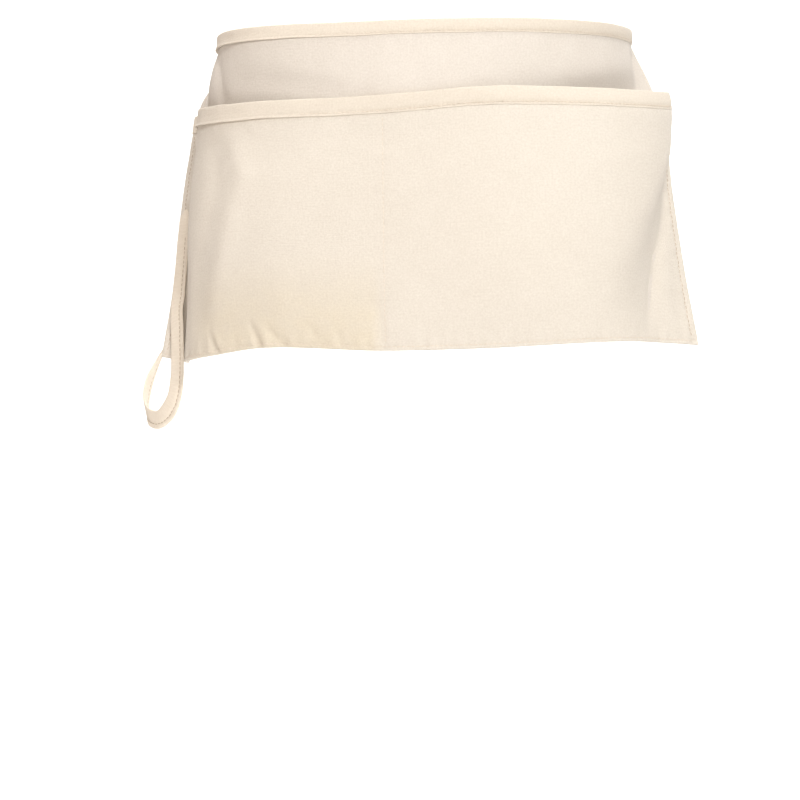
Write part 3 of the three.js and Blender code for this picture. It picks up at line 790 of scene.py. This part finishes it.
# Straps
def catmull(points, shares):
    """The same centripetal curve through points as three.js draws, sampled at shares of its intervals."""
    p = np.asarray(points, float)
    p = np.concatenate([[2 * p[0] - p[1]], p, [2 * p[-1] - p[-2]]])
    out = []
    for share in shares:
        place = share * (len(p) - 3)
        i = min(int(place), len(p) - 4)
        t = place - i
        p0, p1, p2, p3 = p[i:i + 4]
        d0, d1, d2 = (max(np.linalg.norm(b - a) ** 0.5, 1e-4) for a, b in ((p0, p1), (p1, p2), (p2, p3)))
        m1 = ((p1 - p0) / d0 - (p2 - p0) / (d0 + d1) + (p2 - p1) / d1) * d1
        m2 = ((p2 - p1) / d1 - (p3 - p1) / (d1 + d2) + (p3 - p2) / d2) * d1
        t2, t3 = t * t, t * t * t
        out.append((2 * t3 - 3 * t2 + 1) * p1 + (t3 - 2 * t2 + t) * m1
                   + (-2 * t3 + 3 * t2) * p2 + (t3 - t2) * m2)
    return np.array(out)


def strap_shape(middles, wides, width, thickness, seam_at=None, ripple=0.1, seam_depth=0.28):
    """Rings of a flat folded strap, rounded at both edges, with a groove where it is stitched."""
    half = width / 2
    across = np.array([-1, -0.93, -0.8, -0.6, -0.35, 0, 0.35, 0.6, 0.8, 0.93, 1])
    if seam_at is not None:
        across = np.sort(np.concatenate([across, [seam_at - 0.07, seam_at, seam_at + 0.07]]))
    along = unit(np.gradient(middles, axis=0))
    wides = wides - along * np.sum(wides * along, axis=1, keepdims=True)
    wides = unit(wides)
    thicks = np.cross(wides, along)
    run = np.concatenate([[0], np.cumsum(np.linalg.norm(np.diff(middles, axis=0), axis=1))])
    rings = []
    for k in range(len(middles)):
        bulge = (1 - np.abs(across) ** 6) ** 0.5
        if seam_at is not None:
            bulge = bulge * (1 - seam_depth * np.exp(-(((across - seam_at) / 0.1) ** 2)))
        phase = run[k] * 2 * math.pi
        wave = ripple * math.sin(phase / 7.5) + ripple * math.sin(phase / 17 + 1)
        sway = wave * (1 - np.abs(across))
        flat = middles[k] + np.outer(across * half * (1 + 0.012 * math.sin(phase / 23)), wides[k])
        upper = flat + np.outer(thickness / 2 * bulge + sway, thicks[k])
        lower = flat + np.outer(-thickness / 2 * bulge + sway, thicks[k])
        rings.append(np.concatenate([upper, lower[::-1][1:-1]]))
    return np.array(rings), run, wides, thicks


def strap_object(name, rings, run, material, nodes):
    points, faces = tube(rings)
    girth = np.concatenate([[0], np.cumsum(np.linalg.norm(np.diff(rings[0], axis=0), axis=1))])
    uvs = np.stack([np.tile(girth, len(rings)), np.repeat(run, rings.shape[1])], 1)
    return make_object(name, points, faces, uvs, material, nodes)


def cloth_point(across, drop, out):
    return cloth_row(np.array([across]), drop, np.array([out]))[0]


def cad_pocket_front(across, drop):
    a = np.array([across])
    return (pocket_seat + pocket_stand(a, drop) + CLOTH_THICKNESS)[0]


def cad_hem_back(across, drop):
    return hem_face(np.array([across]), drop)[0]


def sewn(drops, out_at):
    edge = -1 + LOOP_INSET / half_width
    inside = edge + LOOP_STRAP_WIDTH / half_width
    middle = (edge + inside) / 2
    rows = []
    for drop in drops:
        wide = cloth_point(inside, drop, out_at(inside, drop)) - cloth_point(edge, drop, out_at(edge, drop))
        rows.append((cloth_point(middle, drop, out_at(middle, drop)), unit(wide)))
    return rows


leave_drop = LOOP_START + LOOP_SEWN_LENGTH / panel_height
half_strap = LOOP_STRAP_THICKNESS / 2
loop_front = sewn(np.linspace(LOOP_START, leave_drop, 4),
                  lambda a, d: cad_pocket_front(a, d) + STRAP_GAP * 0.5 + half_strap)
loop_back = sewn(np.linspace(leave_drop, LOOP_START, 4),
                 lambda a, d: cad_hem_back(a, d) - STRAP_GAP * 0.5 - half_strap)
loop_start = loop_front[-1][0]
loop_free = []
for right, back, up, turn, lift in LOOP_ROUTE:
    turn, lift = math.radians(turn), math.radians(lift)
    wide = np.array([math.cos(turn) * math.cos(lift), math.sin(turn) * math.cos(lift), math.sin(lift)])
    loop_free.append((loop_start + np.array([right, back, up]) * LOOP_HANG, wide))
loop_stations = loop_front + loop_free + [(m, -w) for m, w in loop_back]
shares = np.linspace(0, 1, 240)
loop_middles = catmull([m for m, w in loop_stations], shares)
loop_wides = catmull([w for m, w in loop_stations], shares)
loop_rings, loop_run, loop_wide, loop_thick = strap_shape(loop_middles, loop_wides, LOOP_STRAP_WIDTH,
                                                      LOOP_STRAP_THICKNESS, LOOP_SEAM, 0.08, 0.8)
# the sewn front end is folded under, so it narrows and thins to nothing there
end_share = smoothstep(loop_run, -4, 9)[:, None, None]
loop_rings = loop_middles[:, None, :] + (loop_rings - loop_middles[:, None, :]) * end_share
loop = strap_object("tool_loop_strap", loop_rings, loop_run, strap_cloth, ["tool_loop"])


def tie(name, sign, node_name):
    end = cloth_point(sign, 0.0, 0.0) * (1, 1, 0)
    before = cloth_point(sign * (1 - 1 / 60), 0.0, 0.0) * (1, 1, 0)
    heading = unit(end - before)
    start = end - heading * 1.5
    finish = np.array([sign * (KNOT_WIDTH / 2 - 3), WAIST_BACK, 0])
    reach = TIE_BEND * np.linalg.norm(end - finish)
    leaving, arriving = end + heading * reach, finish + np.array([sign * reach, 0, 0])
    t = np.linspace(0, 1, 90)[:, None]
    middles = ((1 - t) ** 3 * start + 3 * (1 - t) ** 2 * t * leaving
               + 3 * (1 - t) * t ** 2 * arriving + t ** 3 * finish)
    t = t[:, 0]
    middles[:, 2] -= np.sin(math.pi * t) * 1.2
    narrow = 1 - 0.35 * smoothstep(t, 0.86, 1.0)
    wides = np.tile(np.array([0.0, 0.0, 1.0]), (len(t), 1))
    wides[:, 0] += 0.12 * np.sin(t * 9 + sign)
    wides[:, 1] += 0.1 * np.sin(t * 7)
    rings, run, wide, thick = strap_shape(middles, wides, WAISTBAND_HEIGHT, TIE_THICKNESS, TIE_SEAM, 0.1)
    centre = rings.mean(1, keepdims=True)
    rings = centre + (rings - centre) * narrow[:, None, None]
    obj = strap_object(name, rings, run, tape_cloth, [node_name])
    outside = np.sum(thick[0] * unit(middles[0] * (1, 1, 0))) > 0
    sense = 1.0 if outside else -1.0
    line = (middles + wide * (TIE_SEAM * WAISTBAND_HEIGHT / 2 * narrow[:, None]))[:-8]
    out = thick[:-8] * sense
    stitch_row(name + "_stitches", line + out * TIE_THICKNESS * 0.4, out)
    stitch_row(name + "_inner_stitches", line - out * TIE_THICKNESS * 0.4, -out)
    return obj


tie_left = tie("tie_left_tape", -1, "tie_left")
tie_right = tie("tie_right_tape", 1, "tie_right")


# The knot
def knot():
    """The tied tapes behind the waist: a wrapped bead of tape, with its two tails drawn out below."""
    pieces, faces = [], []

    def add(points, quads):
        base = sum(len(p) for p in pieces)
        pieces.append(points)
        faces.extend(tuple(i + base for i in face) for face in quads)

    rings = []
    for v in np.linspace(0.02, 0.98, 40):
        polar = math.pi * v
        ring = []
        for u in np.linspace(0, 2 * math.pi, 64, endpoint=False):
            round_it = math.sin(polar)
            direction = np.array([math.cos(polar), round_it * math.cos(u), round_it * math.sin(u)])
            groove = 1 - 0.14 * math.exp(-((direction[0] * 1.2 + 0.5 * direction[2]) / 0.16) ** 2)
            groove -= 0.1 * math.exp(-((direction[0] - 0.7 * direction[2] - 0.55) / 0.12) ** 2)
            groove -= 0.1 * math.exp(-((direction[0] - 0.7 * direction[2] + 0.6) / 0.12) ** 2)
            groove += 0.02 * math.sin(u * 9 + v * 11)
            ring.append(direction * groove)
        rings.append(ring)
    bead = np.array(rings) * (KNOT_WIDTH / 2, KNOT_DEPTH / 2, KNOT_HEIGHT / 2) + (0, WAIST_BACK, 0)
    add(*tube(bead))
    for sign in (-1, 1):
        lean = math.radians(TAIL_SPREAD) * sign
        t = np.linspace(0, 1, 50)
        down = t * TAIL_LENGTH
        middles = np.stack([np.sin(lean) * down + sign * 1.2 * np.sin(t * 5),
                            WAIST_BACK + sign * TAIL_SEAT + 1.0 * np.sin(t * 6 + sign),
                            -np.cos(lean) * down], 1)
        wides = np.stack([np.cos(lean) * np.ones_like(t),
                          0.25 * np.sin(t * 5 + sign),
                          np.sin(lean) * np.ones_like(t)], 1)
        narrow = 0.55 + 0.45 * smoothstep(t, 0.02, 0.4)
        tail = strap_shape(middles, wides, TAIL_WIDTH, TIE_THICKNESS, 0.5, 0.12)[0]
        centre = tail.mean(1, keepdims=True)
        add(*tube(centre + (tail - centre) * narrow[:, None, None]))
    points = np.concatenate(pieces)
    return make_object("tie_knot_tape", points, faces, points[:, [0, 2]], tape_cloth, ["tie_knot"])


tie_knot = knot()


# Stitches on the cloth
def face_line(across, drops, face_at):
    """Points and outward directions along a line of the cloth, on one face of it."""
    points, normals = [], []
    for a, drop in zip(across, drops):
        one = np.array([a])
        here = cloth_row(one, drop, face_at(one, drop))[0]
        nudge = 0.6 / half_width
        side = cloth_row(one + nudge, drop, face_at(one + nudge, drop))[0] - here
        step = 0.6 / panel_height
        lower = cloth_row(one, drop - step, face_at(one, drop - step))[0] - here
        points.append(here)
        normals.append(np.cross(side, lower))
    return np.array(points), unit(np.array(normals))


def sew(name, across, drops, face_at, sense=1, material=None):
    points, normals = face_line(across, drops, face_at)
    stitch_row(name, points, normals * sense, material)


def sew_level(name, drop, reach, face_at, sense=1):
    """A row of stitches along one level of the cloth, as far as this share of the way to its side edges."""
    sew(name, np.linspace(-reach, reach, 420), np.full(420, drop), face_at, sense)


def sew_down(name, across, drops, face_at, sense=1, material=None):
    sew(name, np.full_like(drops, across), drops, face_at, sense, material)


def body_outside(across, drop):
    return np.full_like(across, -cloth_face)


band_seam = band_drop * BAND_LEG * TAPE_SEAM
binding_seam = mouth_drop + (binding_drop - mouth_drop) * TAPE_SEAM
bottom_seam = 1 - BOTTOM_STITCH / panel_height
sew_level("waistband_stitches", band_seam, 0.995, lambda a, d: body_front(a, d) + TAPE_OUTER - 0.2)
sew_level("waistband_inner_stitches", band_seam, 0.995, lambda a, d: body_back(a, d) - TAPE_OUTER + 0.2, -1)
sew_level("binding_stitches", binding_seam, 0.99, lambda a, d: pocket_front(a, d) + TAPE_OUTER - 0.2)
sew_level("bottom_stitches", bottom_seam, 0.985, pocket_front)
sew_level("bottom_back_stitches", bottom_seam, 0.985, body_outside, -1)
middle_drops = np.linspace(binding_drop + 0.01, 0.985, 220)
sew_down("middle_stitches", 0.0, middle_drops, pocket_front)
sew_down("middle_back_stitches", 1e-6, middle_drops, body_outside, -1)
for side_name, sign in (("left", -1), ("right", 1)):
    column = sign * (1 - SIDE_STITCH / half_width)
    sew_down(f"side_stitches_{side_name}", column, np.linspace(binding_drop + 0.008, 0.985, 220),
             pocket_front, 1, groove_shade_thread)
    sew_down(f"upper_side_stitches_{side_name}", column, np.linspace(band_drop + 0.01, mouth_drop - 0.01, 60),
             body_front)
    sew_down(f"hem_back_stitches_{side_name}", column, np.linspace(band_drop + 0.01, 0.985, 260),
             lambda a, d: hem_face(a, d) + 0.25, -1)
for face, sense in (("face", 1), ("inner", -1)):
    line = loop_middles + loop_wide * (LOOP_SEAM * LOOP_STRAP_WIDTH / 2)
    line = line + loop_thick * sense * LOOP_STRAP_THICKNESS * 0.12
    stitch_row(f"loop_{face}_stitches", line[12:-2], (loop_thick * sense)[12:-2], groove_shade_thread)


# Studio
def stage_material(name, colour):
    material, nodes, links = new_material(name)
    shader = nodes.new("ShaderNodeBsdfPrincipled")
    shader.inputs["Base Color"].default_value = (*colour, 1)
    shader.inputs["Roughness"].default_value = 1.0
    output = nodes.new("ShaderNodeOutputMaterial")
    links.new(shader.outputs[0], output.inputs["Surface"])
    return material


FLOOR_Z = -0.95
WALL_Y = 1.6
sweep_rows = [(-4.5, FLOOR_Z), (WALL_Y - 1.0, FLOOR_Z)]
for step in range(1, 13):
    angle = math.pi / 2 * step / 12
    sweep_rows.append((WALL_Y - 1.0 + math.sin(angle), FLOOR_Z + 1.0 - math.cos(angle)))
sweep_rows.append((WALL_Y, 4.0))
sweep_points = [(x, y, z) for y, z in sweep_rows for x in (-4.5, 4.5)]
sweep_faces = [(2 * k, 2 * k + 1, 2 * k + 3, 2 * k + 2) for k in range(len(sweep_rows) - 1)]
sweep_mesh = bpy.data.meshes.new("backdrop")
sweep_mesh.from_pydata(sweep_points, [], sweep_faces)
sweep_mesh.polygons.foreach_set("use_smooth", [True] * len(sweep_faces))
sweep = bpy.data.objects.new("backdrop", sweep_mesh)
bpy.context.scene.collection.objects.link(sweep)
sweep.data.materials.append(stage_material("backdrop", (0.93, 0.93, 0.93)))


def area_light(name, place, target, size, power, colour=(1, 1, 1)):
    light = bpy.data.lights.new(name, "AREA")
    light.shape = "SQUARE"
    light.size = size
    light.energy = power
    light.color = colour
    obj = bpy.data.objects.new(name, light)
    bpy.context.scene.collection.objects.link(obj)
    obj.location = place
    obj.rotation_euler = (Vector(target) - Vector(place)).to_track_quat("-Z", "Y").to_euler()


APRON_MIDDLE = (0, -0.06, -0.12)


def ring_light(name, turn, height, distance, size, power, colour):
    """A light that faces the apron, turned from straight ahead to its right and raised, in degrees."""
    turn, height = math.radians(turn), math.radians(height)
    flat = distance * math.cos(height)
    offset = (flat * math.sin(turn), -flat * math.cos(turn), distance * math.sin(height))
    place = tuple(a + b for a, b in zip(APRON_MIDDLE, offset))
    area_light(name, place, APRON_MIDDLE, size, power, colour)


ring_light("key", 23, 24, 3.0, 0.7, 67, (1.0, 1.0, 1.0))
ring_light("left_fill", -62, 8, 2.4, 1.2, 7.2, (1.0, 0.8, 0.67))
area_light("wall_light", (0.0, 0.2, 2.6), (0, 1.6, -0.2), 2.6, 75)
area_light("wall_light_low", (0.0, 0.5, -0.5), (0, 1.6, -0.5), 1.4, 16)

world = bpy.data.worlds.new("studio")
bpy.context.scene.world = world
world.use_nodes = True
world.node_tree.nodes["Background"].inputs["Color"].default_value = (1.0, 0.87, 0.76, 1)
world.node_tree.nodes["Background"].inputs["Strength"].default_value = 0.19

# The photograph's camera: turned to the right of the apron's front, level, and rolled a little
CAMERA_TURN = math.radians(14.5)
CAMERA_ROLL = math.radians(1.1)
CAMERA_DISTANCE = 2.4
CAMERA_HEIGHT = -0.2811
CAMERA_LENS = 135.75
CAMERA_SHIFT = -0.024
right = Vector((math.cos(CAMERA_TURN), math.sin(CAMERA_TURN), 0))
ahead = Vector((-math.sin(CAMERA_TURN), math.cos(CAMERA_TURN), 0))
camera_data = bpy.data.cameras.new("camera")
camera_data.lens = CAMERA_LENS
camera_data.sensor_width = 36.0
camera = bpy.data.objects.new("camera", camera_data)
bpy.context.scene.collection.objects.link(camera)
camera.location = -ahead * CAMERA_DISTANCE + Vector((0, 0, CAMERA_HEIGHT)) + right * CAMERA_SHIFT
look = ahead.to_track_quat("-Z", "Y").to_matrix().to_4x4()
camera.rotation_euler = (look @ Matrix.Rotation(-CAMERA_ROLL, 4, "Z")).to_euler()
bpy.context.scene.camera = camera
bpy.context.scene.view_settings.view_transform = "Standard"
bpy.context.scene.view_settings.look = "None"
